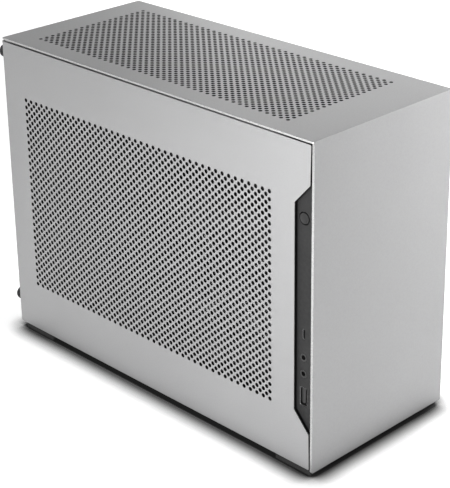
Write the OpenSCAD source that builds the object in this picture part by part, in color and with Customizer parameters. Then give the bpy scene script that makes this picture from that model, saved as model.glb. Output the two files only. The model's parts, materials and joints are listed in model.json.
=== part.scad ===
// Compact desktop computer tower: perforated aluminium covers on a black steel frame. A dividing
// tray has the main board and the power supply on its left and a graphics card on its right, and
// a radiator with two fans lies under the top cover.
// +Z is up and the front faces -Y. The origin is the middle of the shell's footprint, on the
// surface that the feet stand on.

/* [Shell] */
// Width of the case, across X
case_w = 140; // [140:1:144]
// Depth of the case, from the front face to the rear face
case_d = 326; // [326:1:330]
// Height of the shell without its feet
case_h = 244; // [244:1:248]
// Thickness of the side and top covers
sheet_t = 1.5; // [1.2:0.1:1.5]
// Thickness of the front panel
front_t = 2; // [1.8:0.1:2]
// Height of the feet under the shell
foot_h = 5; // [4:0.5:6]
// Gap between the top cover and a side cover
top_gap = 0.8; // [0.6:0.1:1]
// Gap between the front panel and a side cover
front_gap = 1; // [0.8:0.1:1.2]

/* [Perforation] */
// Distance between the holes of one row
hole_pitch_y = 6.34; // [6.3:0.02:6.36]
// Distance between the holes of one column
hole_pitch_z = 5.8; // [5.7:0.1:5.9]
// Diameter of a hole
hole_d = 3; // [2.6:0.1:3.1]
// How many times coarser than a real cover the perforation is drawn here, in pitch and diameter
coarse = 2; // [2:1:3]

/* [Port strip] */
// Depth of the notch in the left cover, from the front face
notch_depth = 16.5; // [16:0.1:17]
// Height of the notch at the cover's front edge
notch_h = 184; // [180:1:186]
// Depth of the strip's face below the outside of the left cover
strip_recess = 2.7; // [2.6:0.1:3]
// Diameter of the power button
button_d = 8.5; // [8:0.1:9]
// Travel of the power button
button_travel = 0.8; // [0.5:0.1:0.9]
// Radius of the bore of an audio jack
jack_bore_r = 1.8; // [1.78:0.01:1.85]

/* [Fasteners] */
// Diameter of a thumb screw's head
thumb_d = 10.8; // [10:0.2:11]
// Length of a thumb screw's head
thumb_l = 7; // [6:0.5:8]

/* [Hidden] */
$fn = 48;

clear = 0.3;
half_w = case_w / 2;
steel_t = 1.2;
flange_t = 1.2;
mid_y = -(flange_t + clear + thumb_l) / 2;
front_y = mid_y - case_d / 2;
rear_y = mid_y + case_d / 2;
shell_z = foot_h;
top_z = foot_h + case_h;

// Covers
cover_front_y = front_y + front_t + front_gap;
cover_top_z = top_z - sheet_t - top_gap;
cover_in = half_w - sheet_t;
top_cover_front_y = front_y + front_t + 0.4;
notch_mid_z = top_z - 123.35;
notch_inner_y = front_y + notch_depth;
notch_slope = 14.5;
flange_w = 15;
hole_step_y = hole_pitch_y / 2 * coarse;
hole_step_z = hole_pitch_z / 2 * coarse;
holes_rear_y = rear_y - 25.55;
holes_top_z = top_z - 45.1;
hole_columns = floor(82 / coarse);
side_rows = floor(54 / coarse);
top_rows = floor(36 / coarse);

// Push-in studs on the covers, and the clips in the frame that hold them
side_stud_ys = [front_y + 28, rear_y - 16];
side_stud_zs = [shell_z + 16, cover_top_z - 14];
top_stud_xs = [-half_w + 12, half_w - 12];
top_stud_ys = [front_y + 12, rear_y - 16];
stud_r = 1.5;
stud_ball_r = 2.2;
stud_l = 6;
clip_gap = 0.7;
collar_t = 1;
clip_in_r = stud_ball_r + clear;
clip_out_r = clip_in_r + 1.2;

// Frame
frame_half_w = cover_in - clip_gap - collar_t;
frame_front_y = front_y + front_t + clear;
frame_rear_y = rear_y - 0.5;
rail_top_z = top_z - sheet_t - clip_gap - collar_t;
rail_z = rail_top_z - steel_t;
rail_web_h = 24;
rail_w = 19;
floor_top_z = shell_z + steel_t;
floor_flange_h = 25;
tray_top_z = 180;
foot_l = 36;
foot_w = 16;

// Thumb screws
thumb_x = half_w - 7.5;
thumb_zs = [shell_z + 21, top_z - 13.5];
thumb_shank_r = 1.5;
thumb_head_y = rear_y + flange_t + clear;

// Port strip and what is behind it
strip_x = -half_w + strip_recess;
strip_t = 2;
strip_back_x = strip_x + strip_t;
strip_y = front_y + 11.5;
strip_zs = [shell_z + 27, top_z - 29.5];
button_z = top_z - 56.8;
usb_c_z = top_z - 141.6;
headphone_z = top_z - 159.3;
microphone_z = top_z - 171.8;
usb_a_z = top_z - 189.5;
usb_a_size = [5.7, 13];
usb_c_size = [3.2, 8.9];
port_board_x = strip_back_x + 12.4;
port_lip = 0.3;
jack_l = 13;

// Main board: a square board standing on the tray's left face
mb_size = 170;
mb_t = 1.6;
mb_x = -7.7;
mb_face_x = mb_x - mb_t;
mb_rear_y = rear_y - 5;
mb_front_y = mb_rear_y - mb_size;
mb_z = 12;
mb_holes_y = [mb_rear_y - 6.4, mb_rear_y - 163.8];
mb_holes_z = [mb_z + 6.4, mb_z + 163.8];
io_z = mb_z + 5;
io_h = 158.75;
io_w = 44.45;
io_x = mb_face_x + 2;
cpu_y = mid_y + 72;
cpu_z = 118;
memory_ys = [mb_front_y + 13, mb_front_y + 23];
board_plug_y = mb_front_y + 5;
slot_y = mid_y + 55;
slot_l = 90;

// Cooling
fan_d = 120;
fan_t = 25;
fan_z = rail_z - fan_t;
rad_t = 27;
rad_z = fan_z - rad_t;
rad_front_y = front_y + 21;
rad_l = 277;
tank_l = 18.5;
fan_ys = [rad_front_y + tank_l + fan_d / 2, rad_front_y + tank_l + fan_d * 3 / 2];
hose_r = 5;

// Graphics card
gpu_x = 6.5;
gpu_board_x = gpu_x + 2.4;
gpu_fin_x = gpu_board_x + 1.6;
gpu_shroud_x = 40;
gpu_out_x = 60;
gpu_z = 24;
gpu_h = 122;
gpu_rear_y = rear_y - 7;
gpu_front_y = gpu_rear_y - 268;
gpu_board_front_y = gpu_rear_y - 240;
gpu_fan_r = 46;
gpu_fan_ys = [mid_y - 58, mid_y + 44];
gpu_fan_z = gpu_z + gpu_h / 2;
slot_pitch = 20.32;
bracket_low = [gpu_x - 1, gpu_z - 8];
bracket_high = [gpu_x + 3 * slot_pitch - 8, gpu_z + gpu_h - 14];
display_zs = [for (k = [0 : 3]) gpu_z + 16 + k * 22];
display_x = gpu_board_x + 6;

// Power supply
psu_size = [63.5, 100, 125];
psu_at = [-66.3, front_y + 27, 58];
psu_fan_r = 43;
psu_mid_y = psu_at[1] + psu_size[1] / 2;
psu_mid_z = psu_at[2] + psu_size[2] / 2;
inlet_x = 30;
inlet_z = 214;

// Routes held inside the case, as places from the middle of the shell
hose_feed = [
    [-30, 125, 190], [-30, 125, 182], [-36, 115, 172], [-46, 88, 167], [-47.5, 54, 166],
    [-47.5, 20, 165], [-47.5, -8, 158], [-47.5, -24, 140], [-47.5, -24, 120], [-47.5, -8, 106],
    [-45, 16, 104], [-38, 30, 104], [-34, 42, 104]
];
hose_return = [
    [-48, 125, 190], [-48, 125, 184], [-54, 112, 177], [-58, 88, 175], [-58.5, 54, 174],
    [-58.5, 20, 173], [-58.5, -8, 166], [-58.5, -26, 150], [-58.5, -26, 140], [-58.5, -8, 128],
    [-54, 14, 124], [-42, 30, 124], [-34, 42, 124]
];
mains_route = [
    [30, 147, 204], [30, 147, 196], [26, 142, 186], [16, 130, 177], [7, 114, 173], [5.5, 92, 172],
    [5.5, 40, 172], [5.5, -20, 172], [5.5, -80, 171], [5, -124, 166], [2, -143, 150],
    [-4, -147, 130], [-9, -146, 112], [-13, -144, 102], [-19, -144, 100]
];
board_power_route = [
    [-40, -36, 100], [-40, -31, 100], [-38, -27, 94], [-36, -25, 80], [-35, -24, 66],
    [-33, -20, 52], [-29, -12, 42], [-24, -8, 37], [-18.3, -7, 36]
];
graphics_power_route = [
    [-14, -36, 170], [-14, -31, 170], [-12, -27, 175], [-5, -24, 184], [6, -24, 185.5],
    [13, -27, 178], [16, -31, 166], [16, -32, 156], [16, -32, 148]
];
riser_t = 1.6;
riser_w = 62;

// A straight block between its lowest and its highest corner
module block(low, high) {
    translate(low) cube(high - low);
}

// Round bars along each axis, from a point
module bar_x(p, r, l) {
    translate(p) rotate([0, 90, 0]) cylinder(r = r, h = l);
}
module bar_y(p, r, l) {
    translate(p) rotate([-90, 0, 0]) cylinder(r = r, h = l);
}
module bar_z(p, r, l) {
    translate(p) cylinder(r = r, h = l);
}

// Flat outlines drawn in Y-Z or X-Z, thickened from x or from y
module plate_yz(x, t) {
    translate([x, 0, 0]) rotate([90, 0, 90]) linear_extrude(t) children();
}
module plate_xz(y, t) {
    translate([0, y + t, 0]) rotate([90, 0, 0]) linear_extrude(t) children();
}
module rect(low, high) {
    translate(low) square(high - low);
}

// A rectangle with round corners, about its middle
module round_rect(size, r) {
    square([size[0] - 2 * r, size[1]], center = true);
    square([size[0], size[1] - 2 * r], center = true);
    for (sx = [-1, 1], sy = [-1, 1])
        translate([sx * (size[0] / 2 - r), sy * (size[1] / 2 - r)]) circle(r);
}

// A tube swept along a smoothed route
function unit(v) = v / norm(v);
function between(a, b, c, d, t) =
    0.5 * (2 * b + (c - a) * t + (2 * a - 5 * b + 4 * c - d) * t * t
    + (3 * b - a - 3 * c + d) * t * t * t);
function smooth(p, n) = [
    for (i = [0 : len(p) - 2], k = [0 : n - 1])
        between(p[max(i - 1, 0)], p[i], p[i + 1], p[min(i + 2, len(p) - 1)], k / n),
    p[len(p) - 1]
];
function heading(p, i) = unit(p[min(i + 1, len(p) - 1)] - p[max(i - 1, 0)]);
function square_to(v, t) = unit(v - (v * t) * t);
function sides(p, i, v) =
    i == len(p) ? [] : let (s = square_to(v, heading(p, i))) concat([s], sides(p, i + 1, s));
module tube(route, r, n) {
    path = [for (p = smooth(route, 2)) p + [0, mid_y, 0]];
    side = sides(path, 0, [0.31, 0.17, 0.94]);
    rings = len(path);
    points = [
        for (i = [0 : rings - 1], k = [0 : n - 1])
            path[i] + r * (cos(360 * k / n) * side[i]
            + sin(360 * k / n) * cross(heading(path, i), side[i]))
    ];
    walls = [
        for (i = [0 : rings - 2], k = [0 : n - 1])
            [i * n + k, i * n + (k + 1) % n, (i + 1) * n + (k + 1) % n, (i + 1) * n + k]
    ];
    ends = [[for (k = [n - 1 : -1 : 0]) k], [for (k = [0 : n - 1]) (rings - 1) * n + k]];
    polyhedron(points, [for (f = concat(walls, ends)) [for (j = [len(f) - 1 : -1 : 0]) f[j]]]);
}

// ---- Covers ----

function hole_places(rows) = [
    for (i = [0 : hole_columns], j = [0 : rows]) if ((i + j) % 2 == 0) [i * hole_step_y, j * hole_step_z]
];

module hole() {
    circle(hole_d * coarse / 2, $fn = 24);
}

module notch_outline() {
    low = notch_mid_z - notch_h / 2;
    high = notch_mid_z + notch_h / 2;
    polygon([
        [cover_front_y - 1, low], [cover_front_y, low], [notch_inner_y, low + notch_slope],
        [notch_inner_y, high - notch_slope], [cover_front_y, high], [cover_front_y - 1, high]
    ]);
}

module side_sheet(notched) {
    difference() {
        rect([cover_front_y, shell_z], [rear_y + flange_t, cover_top_z]);
        for (p = hole_places(side_rows)) translate([holes_rear_y - p[0], holes_top_z - p[1]]) hole();
        if (notched) notch_outline();
    }
}

// The cover's bent rear edge, with slots that let it slide off the loosened thumb screws
module rear_flange() {
    plate_xz(rear_y, flange_t) difference() {
        rect([half_w - flange_w, shell_z], [cover_in, cover_top_z]);
        for (z = thumb_zs) {
            translate([thumb_x, z]) circle(thumb_shank_r + clear);
            rect([half_w - flange_w - 1, z - thumb_shank_r - clear], [thumb_x, z + thumb_shank_r + clear]);
        }
    }
}

module left_cover() {
    color("silver") {
        plate_yz(-half_w, sheet_t) side_sheet(true);
        mirror([1, 0, 0]) rear_flange();
    }
}

module right_cover() {
    color("silver") {
        plate_yz(cover_in, sheet_t) side_sheet(false);
        rear_flange();
    }
}

module top_cover() {
    color("silver") translate([0, 0, top_z - sheet_t]) linear_extrude(sheet_t) difference() {
        rect([-half_w, top_cover_front_y], [half_w, rear_y]);
        for (p = hole_places(top_rows))
            translate([p[1] - top_rows * hole_step_z / 2, holes_rear_y - p[0]]) hole();
    }
}

// The front panel, with the screws that stand behind it
front_screws = [for (x = [-36, 44], z = [shell_z + 12, top_z - 16]) [x, z]];
module front_panel() {
    color("silver") {
        block([-half_w, front_y, shell_z], [half_w, front_y + front_t, top_z]);
        for (p = front_screws) bar_y([p[0], front_y + front_t, p[1]], 1.5, 3.5);
    }
}

// ---- Studs and clips ----

// A stud standing along +Z, with a ball at its end
module stud() {
    rotate_extrude() {
        square([stud_r, stud_l - stud_ball_r]);
        square([stud_r + 1.5, clip_gap - clear]);
        translate([0, stud_l - stud_ball_r]) intersection() {
            circle(stud_ball_r);
            translate([0, -stud_ball_r]) square([stud_ball_r, 2 * stud_ball_r]);
        }
    }
}

// A clip's sleeve around a stud's ball, with a collar that rests on the outside of the frame
module clip() {
    translate([0, 0, clip_gap]) difference() {
        union() {
            cylinder(r = clip_out_r, h = 5.6);
            cylinder(r = clip_out_r + 1, h = collar_t);
        }
        translate([0, 0, -1]) cylinder(r = clip_in_r, h = 8);
    }
}

// Places on the inner faces of the covers, with +Z pointing into the case
module at_side_studs(side) {
    for (y = side_stud_ys, z = side_stud_zs)
        translate([side * cover_in, y, z]) rotate([0, -side * 90, 0]) children();
}
module at_top_studs() {
    for (x = top_stud_xs, y = top_stud_ys)
        translate([x, y, top_z - sheet_t]) rotate([180, 0, 0]) children();
}

module left_cover_studs() {
    color("dimgray") at_side_studs(-1) stud();
}
module right_cover_studs() {
    color("dimgray") at_side_studs(1) stud();
}
module top_cover_studs() {
    color("dimgray") at_top_studs() stud();
}
module stud_clips() {
    color("black") {
        at_side_studs(-1) clip();
        at_side_studs(1) clip();
        at_top_studs() clip();
    }
}

// ---- Frame ----

// The holes for the clips' sleeves
module clip_holes() {
    for (side = [-1, 1]) at_side_studs(side) cylinder(r = clip_out_r, h = 6);
    at_top_studs() cylinder(r = clip_out_r, h = 6);
}

module floor_plate() {
    color("dimgray") difference() {
        union() {
            block([-frame_half_w, frame_front_y, shell_z], [frame_half_w, frame_rear_y, floor_top_z]);
            for (side = [0, 1]) mirror([side, 0, 0])
                block([frame_half_w - steel_t, frame_front_y + steel_t, shell_z],
                    [frame_half_w, frame_rear_y - steel_t, shell_z + floor_flange_h]);
        }
        clip_holes();
        for (x = [-40 : 20 : 40], k = [-3 : 3])
            translate([x, mid_y + k * 30, shell_z - 1]) linear_extrude(4) round_rect([14, 5], 2.4);
        for (p = foot_places) bar_z([p[0], p[1], shell_z - 1], 1.7, 4);
    }
}

module front_frame() {
    color("dimgray") difference() {
        block([strip_back_x + clear, frame_front_y, floor_top_z],
            [frame_half_w, frame_front_y + steel_t, rail_z]);
        for (p = front_screws) bar_y([p[0], frame_front_y - 1, p[1]], 1.55, 4);
        for (z = [40 : 30 : 190])
            plate_xz(frame_front_y - 1, 4)
                translate([58, z]) round_rect([8, 22], 3.9);
    }
}

// The rear frame, with openings for the port shield, the card's bracket and the mains inlet
module rear_frame() {
    color("dimgray") plate_xz(frame_rear_y - steel_t, steel_t) difference() {
        rect([-frame_half_w, floor_top_z], [frame_half_w, rail_z]);
        rect([io_x - io_w, io_z], [io_x, io_z + io_h]);
        rect(bracket_low, bracket_high);
        translate([inlet_x, inlet_z]) square([27.5, 20.5], center = true);
        for (x = [-52 : 8 : 4], z = [198 : 8 : 238]) translate([x, z]) circle(2.4);
        for (x = [8 : 8 : 48], z = [146 : 8 : 186]) translate([x, z]) circle(2.4);
        for (side = [-1, 1], z = thumb_zs) translate([side * thumb_x, z]) circle(thumb_shank_r + 0.05);
    }
}

// A top rail: a web with a flange that carries the fans and the top cover's clips
module top_rail() {
    difference() {
        union() {
            block([frame_half_w - steel_t, frame_front_y + steel_t, rail_top_z - rail_web_h],
                [frame_half_w, frame_rear_y - steel_t, rail_top_z]);
            block([frame_half_w - rail_w, frame_front_y + steel_t, rail_z],
                [frame_half_w, frame_rear_y - steel_t, rail_top_z]);
        }
        clip_holes();
        for (y = fan_ys, dy = [-52.5, 52.5])
            translate([52.5, y + dy, rail_z - 1]) linear_extrude(4) round_rect([4, 9], 1.9);
    }
}
module right_top_rail() {
    color("dimgray") top_rail();
}
module left_top_rail() {
    color("dimgray") mirror([1, 0, 0]) top_rail();
}

module dividing_tray() {
    front = psu_at[1] + 6;
    rear = frame_rear_y - steel_t;
    color("dimgray") {
        plate_yz(0, steel_t) difference() {
            rect([front, floor_top_z], [rear, tray_top_z]);
            rect([slot_y - 4, floor_top_z - 1], [slot_y + slot_l - 10, gpu_z - 10]);
            for (y = [mb_front_y - 14, cpu_y, cpu_y + 40], z = [45, 160])
                translate([y, z]) round_rect([10, 28], 4.9);
        }
        block([steel_t, rear - 1.2, gpu_z + gpu_h + 6], [9, rear, tray_top_z]);
    }
}

foot_places = [
    for (x = [-1, 1] * (half_w - 4 - foot_w / 2), y = [front_y + 2 + foot_l / 2, rear_y - 4 - foot_l / 2])
        [x, y]
];
module foot(i) {
    color("black") difference() {
        translate([foot_places[i][0], foot_places[i][1], 0]) linear_extrude(foot_h)
            round_rect([foot_w, foot_l], 2);
        bar_z([foot_places[i][0], foot_places[i][1], -1], 3, 3);
        bar_z([foot_places[i][0], foot_places[i][1], -1], 1.7, foot_h + 2);
    }
}
module foot_front_left() {
    foot(0);
}
module foot_rear_left() {
    foot(1);
}
module foot_front_right() {
    foot(2);
}
module foot_rear_right() {
    foot(3);
}

// ---- Thumb screws ----

module thumb_screw(x, z) {
    head_r = thumb_d / 2;
    color("black") translate([x, thumb_head_y, z]) rotate([-90, 0, 0]) {
        difference() {
            union() {
                cylinder(r = head_r - 0.4, h = thumb_l);
                translate([0, 0, 1.5]) cylinder(r = head_r, h = thumb_l - 2.5);
            }
            for (a = [0 : 15 : 345]) rotate(a)
                translate([head_r + 0.3, 0, 1.4]) cylinder(r = 0.6, h = thumb_l - 2.3, $fn = 16);
            for (a = [0, 90]) rotate(a)
                translate([-3, -0.6, thumb_l - 1.8]) cube([6, 1.2, 2]);
        }
        translate([0, 0, -7]) cylinder(r = thumb_shank_r, h = 7);
    }
}
module thumb_screw_left_upper() {
    thumb_screw(-thumb_x, thumb_zs[1]);
}
module thumb_screw_left_lower() {
    thumb_screw(-thumb_x, thumb_zs[0]);
}
module thumb_screw_right_upper() {
    thumb_screw(thumb_x, thumb_zs[1]);
}
module thumb_screw_right_lower() {
    thumb_screw(thumb_x, thumb_zs[0]);
}

// ---- Port strip ----

module port_strip() {
    low_y = frame_front_y;
    wall_ys = [frame_front_y + steel_t, notch_inner_y + 4];
    color("dimgray") difference() {
        union() {
            block([strip_x, low_y, strip_zs[0]], [strip_back_x, wall_ys[1], strip_zs[1]]);
            for (y = [wall_ys[0], wall_ys[1] - 1.5])
                block([strip_back_x - 0.1, y, strip_zs[0]], [port_board_x, y + 1.5, strip_zs[1]]);
        }
        bar_x([strip_x - 1, strip_y, button_z], button_d / 2 + 0.2, 4);
        for (z = [headphone_z, microphone_z]) bar_x([strip_x - 1, strip_y, z], 3 + clear / 2, 4);
        translate([0, strip_y, usb_c_z]) plate_yz(strip_x - 1, 4)
            round_rect(usb_c_size + [0.4, 0.4], usb_c_size[0] / 2);
        translate([0, strip_y, usb_a_z]) plate_yz(strip_x - 1, 4)
            round_rect(usb_a_size + [0.4, 0.4], 0.6);
    }
}

module power_button() {
    color("black") {
        bar_x([strip_x - 0.3, strip_y, button_z], button_d / 2, strip_t + 0.4);
        bar_x([strip_back_x + 0.1, strip_y, button_z], button_d / 2 + 0.8, 1);
        bar_x([strip_back_x + 1.1, strip_y, button_z], 1.5, 5.4);
    }
}

module power_switch() {
    color("gray") difference() {
        block([strip_back_x + 5, strip_y - 4, button_z - 4], [port_board_x, strip_y + 4, button_z + 4]);
        bar_x([strip_back_x + 4, strip_y, button_z], 1.58, 3.2 + button_travel);
    }
}

module port_board() {
    color("darkgreen")
        block([port_board_x, strip_y - 7, usb_a_z - 12], [port_board_x + 1.2, strip_y + 5.5, button_z + 10]);
}

module usb_c_port() {
    color("gray") translate([0, strip_y, usb_c_z]) {
        plate_yz(strip_x + port_lip, port_board_x - strip_x - port_lip) difference() {
            round_rect(usb_c_size, usb_c_size[0] / 2 - 0.01);
            round_rect(usb_c_size - [0.6, 0.6], usb_c_size[0] / 2 - 0.31);
        }
        plate_yz(strip_x + 2, port_board_x - strip_x - 2) round_rect([0.7, 6.8], 0.3);
        plate_yz(port_board_x - 2, 2) round_rect(usb_c_size, usb_c_size[0] / 2 - 0.01);
    }
}

module usb_a_port() {
    color("gray") translate([0, strip_y, usb_a_z]) {
        plate_yz(strip_x + port_lip, port_board_x - strip_x - port_lip) difference() {
            round_rect(usb_a_size, 0.5);
            round_rect(usb_a_size - [0.8, 0.8], 0.3);
        }
        plate_yz(strip_x + 1.2, port_board_x - strip_x - 1.2) translate([1.2, 0]) round_rect([1.8, 11], 0.2);
        plate_yz(port_board_x - 2, 2) round_rect(usb_a_size, 0.5);
    }
}

module jack(z) {
    color("black") difference() {
        union() {
            bar_x([strip_x, strip_y, z], 3, 4);
            block([strip_back_x, strip_y - 3.2, z - 5.5], [port_board_x, strip_y + 3.2, z + 5.5]);
        }
        bar_x([strip_x - 1, strip_y, z], jack_bore_r, jack_l + 1);
    }
}
module audio_jacks() {
    jack(headphone_z);
    jack(microphone_z);
}

// ---- Main board ----

module main_board() {
    color("darkgreen") difference() {
        block([mb_face_x, mb_front_y, mb_z], [mb_x, mb_rear_y, mb_z + mb_size]);
        for (y = mb_holes_y, z = mb_holes_z) bar_x([mb_face_x - 1, y, z], 2, 4);
    }
}

module board_standoffs() {
    color("goldenrod") for (y = mb_holes_y, z = mb_holes_z) {
        bar_x([mb_x, y, z], 3, -mb_x);
        bar_x([mb_face_x, y, z], 1.8, mb_t);
        bar_x([mb_face_x - 2, y, z], 3, 2);
    }
}

// Slots, sockets and plugs on the board's face
module board_sockets() {
    color("black") {
        for (y = memory_ys) block([mb_face_x - 6, y - 3, mb_z + 14], [mb_face_x, y + 3, mb_z + 156]);
        block([mb_face_x - 11, slot_y, mb_z + 4], [mb_face_x, slot_y + slot_l, mb_z + 11]);
        block([mb_face_x - 9, board_plug_y - 4, mb_z + 14], [mb_face_x, board_plug_y + 4, mb_z + 66]);
        block([mb_face_x - 3, cpu_y - 24, cpu_z - 28], [mb_face_x, cpu_y + 24, cpu_z + 28]);
    }
}

module memory_modules() {
    color("dimgray") for (y = memory_ys)
        block([mb_face_x - 31, y - 2, mb_z + 18], [mb_face_x - 6, y + 2, mb_z + 151]);
}

// Finned coolers of the voltage regulators and of the solid-state storage card
module board_heatsinks() {
    color("dimgray") {
        for (y = [mb_rear_y - 46 : 6 : mb_rear_y - 28])
            block([mb_face_x - 22, y, cpu_z - 20], [mb_face_x - 4, y + 3, cpu_z + 50]);
        block([mb_face_x - 5, mb_rear_y - 46, cpu_z - 20], [mb_face_x, mb_rear_y - 25, cpu_z + 50]);
        block([mb_face_x - 8, cpu_y - 38, mb_z + 16], [mb_face_x, cpu_y + 38, mb_z + 40]);
    }
}

// The rear sockets: height above the port area's lower end, height, depth from the board's face and
// how many sockets lie side by side
rear_sockets = [[130, 15, 16, 2], [107, 15, 24, 3], [84, 15, 24, 3], [40, 14, 8, 1]];
network_socket = [[mb_face_x - 17, io_z + 60], [mb_face_x - 1, io_z + 77]];
rear_jack_zs = [io_z + 14, io_z + 27];
rear_jack_xs = [mb_face_x - 8, mb_face_x - 20];

module rear_port_shield() {
    color("lightgray") plate_xz(frame_rear_y - 1, 1) difference() {
        rect([io_x - io_w, io_z], [io_x, io_z + io_h]);
        for (b = rear_sockets)
            rect([mb_face_x - 1.2 - b[2], io_z + b[0] - 0.2], [mb_face_x - 0.8, io_z + b[0] + b[1] + 0.2]);
        rect(network_socket[0] - [0.2, 0.2], network_socket[1] + [0.2, 0.2]);
        for (z = rear_jack_zs, x = rear_jack_xs) translate([x, z]) circle(3.4);
    }
}

// A block of flat sockets, each with a tongue in the middle
module socket_block(b) {
    low = [mb_face_x - 1 - b[2], mb_rear_y - 14, io_z + b[0]];
    difference() {
        block(low, [mb_face_x - 1, rear_y, io_z + b[0] + b[1]]);
        for (k = [0 : b[3] - 1]) translate([low[0] + 1 + k * 8, rear_y - 9, low[2] + 1])
            difference() {
                cube([6, 10, b[1] - 2]);
                translate([2.2, -1, 1.2]) cube([1.6, 10, b[1] - 4.4]);
            }
    }
}

module rear_jack(x, z) {
    difference() {
        union() {
            block([x - 5.6, mb_rear_y - 12, z - 6], [x + 5.6, frame_rear_y - steel_t, z + 6]);
            bar_y([x, frame_rear_y - 2, z], 3.2, 2.4);
        }
        bar_y([x, rear_y - jack_l, z], jack_bore_r, jack_l + 1);
    }
}

module rear_ports() {
    color("gray") {
        for (b = rear_sockets) socket_block(b);
        difference() {
            block([network_socket[0][0], mb_rear_y - 14, network_socket[0][1]],
                [network_socket[1][0], rear_y, network_socket[1][1]]);
            block([network_socket[0][0] + 2, rear_y - 11, network_socket[0][1] + 2],
                [network_socket[1][0] - 3, rear_y + 1, network_socket[1][1] - 2]);
        }
        for (z = rear_jack_zs, x = rear_jack_xs) rear_jack(x, z);
    }
}

// ---- Cooling ----

module pump_block() {
    color("black") {
        bar_x([mb_face_x - 34, cpu_y, cpu_z], 28, 28);
        block([mb_face_x - 6, cpu_y - 20, cpu_z - 24], [mb_face_x - 3, cpu_y + 20, cpu_z + 24]);
        for (dz = [-14, 6]) bar_y([-34, cpu_y - 32, cpu_z + dz], 4, 16);
    }
}

module coolant_hoses() {
    color("black") {
        tube(hose_feed, hose_r, 12);
        tube(hose_return, hose_r, 12);
    }
}

module radiator() {
    color("black") {
        for (y = [rad_front_y, rad_front_y + rad_l - tank_l])
            block([-60, y, rad_z], [60, y + tank_l, rad_z + rad_t]);
        for (x = [-60, 56.5])
            block([x, rad_front_y, rad_z], [x + 3.5, rad_front_y + rad_l, rad_z + rad_t]);
        for (k = [0 : 11])
            block([-52 + k * 9.2, rad_front_y + 5, rad_z + 3],
                [-50 + k * 9.2, rad_front_y + rad_l - 5, rad_z + rad_t - 3]);
        for (k = [0 : 46])
            block([-58, rad_front_y + tank_l + 4 + k * 5, rad_z + 4],
                [58, rad_front_y + tank_l + 4.6 + k * 5, rad_z + rad_t - 4]);
        for (x = [-30, -48])
            bar_z([x, mid_y + 125, rad_z - 3.5], 4, 4.5);
    }
}

module fan_frame(y) {
    color("black") translate([0, y, fan_z]) {
        linear_extrude(fan_t) difference() {
            round_rect([fan_d, fan_d], 5);
            circle(fan_d / 2 - 2.5);
            for (sx = [-1, 1], sy = [-1, 1]) translate([sx, sy] * 52.5) circle(2.2);
        }
        cylinder(r = 20, h = 3);
        for (a = [0 : 90 : 270]) rotate(a + 20) translate([18, -2, 0]) cube([40.2, 4, 2.5]);
    }
}
module fan_frame_front() {
    fan_frame(fan_ys[0]);
}
module fan_frame_rear() {
    fan_frame(fan_ys[1]);
}

// A hub with plain pitched blades, turning about +Z
module rotor(r, hub_r, h, blades) {
    cylinder(r = hub_r, h = h);
    for (a = [0 : blades - 1]) rotate(360 * a / blades)
        translate([hub_r - 1, 0, h / 2]) rotate([38, 0, 0])
            translate([0, -0.8, -h * 0.52]) cube([r - hub_r - 1, 1.6, h * 1.04]);
}
module fan_rotor_front() {
    color("dimgray") translate([0, fan_ys[0], fan_z + 4.5]) rotor(56, 20, 18, 9);
}
module fan_rotor_rear() {
    color("dimgray") translate([0, fan_ys[1], fan_z + 4.5]) rotor(56, 20, 18, 9);
}

// ---- Graphics card ----

module graphics_board() {
    color("darkgreen") {
        block([gpu_board_x, gpu_board_front_y, gpu_z], [gpu_fin_x, gpu_rear_y, gpu_z + gpu_h - 8]);
        block([gpu_board_x + 1.6, mid_y - 44, gpu_z + gpu_h - 12],
            [gpu_board_x + 14, mid_y - 20, gpu_z + gpu_h + 2]);
    }
}

module graphics_backplate() {
    color("dimgray")
        block([gpu_x, gpu_front_y + 4, gpu_z + 4], [gpu_x + 1.2, gpu_rear_y - 2, gpu_z + gpu_h - 4]);
}

module graphics_heatsink() {
    color("silver") {
        block([gpu_fin_x + 2, gpu_front_y + 8, gpu_z + 8],
            [gpu_fin_x + 5, gpu_rear_y - 8, gpu_z + gpu_h - 16]);
        for (k = [0 : 49])
            block([gpu_fin_x + 4, gpu_front_y + 8 + k * 5, gpu_z + 8],
                [gpu_shroud_x - 0.5, gpu_front_y + 8.6 + k * 5, gpu_z + gpu_h - 16]);
        bar_x([gpu_fin_x, mid_y + 20, gpu_fan_z], 16, 3);
    }
}

module graphics_shroud() {
    color("black") {
        plate_yz(gpu_shroud_x, gpu_out_x - gpu_shroud_x) difference() {
            rect([gpu_front_y, gpu_z], [gpu_rear_y - 2, gpu_z + gpu_h]);
            for (y = gpu_fan_ys) translate([y, gpu_fan_z]) circle(gpu_fan_r + 1.5);
        }
        for (y = gpu_fan_ys) translate([gpu_shroud_x + 0.4, y, gpu_fan_z]) {
            bar_x([0, 0, 0], 17, 2.8);
            for (a = [30 : 120 : 270]) rotate([a, 0, 0]) translate([0.3, -2.5, 15])
                cube([2, 5, gpu_fan_r - 12]);
        }
    }
}

module graphics_rotor(y) {
    color("dimgray") translate([gpu_shroud_x + 4, y, gpu_fan_z]) rotate([0, 90, 0])
        rotor(gpu_fan_r, 17, 13, 11);
}
module graphics_rotor_front() {
    graphics_rotor(gpu_fan_ys[0]);
}
module graphics_rotor_rear() {
    graphics_rotor(gpu_fan_ys[1]);
}

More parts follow.
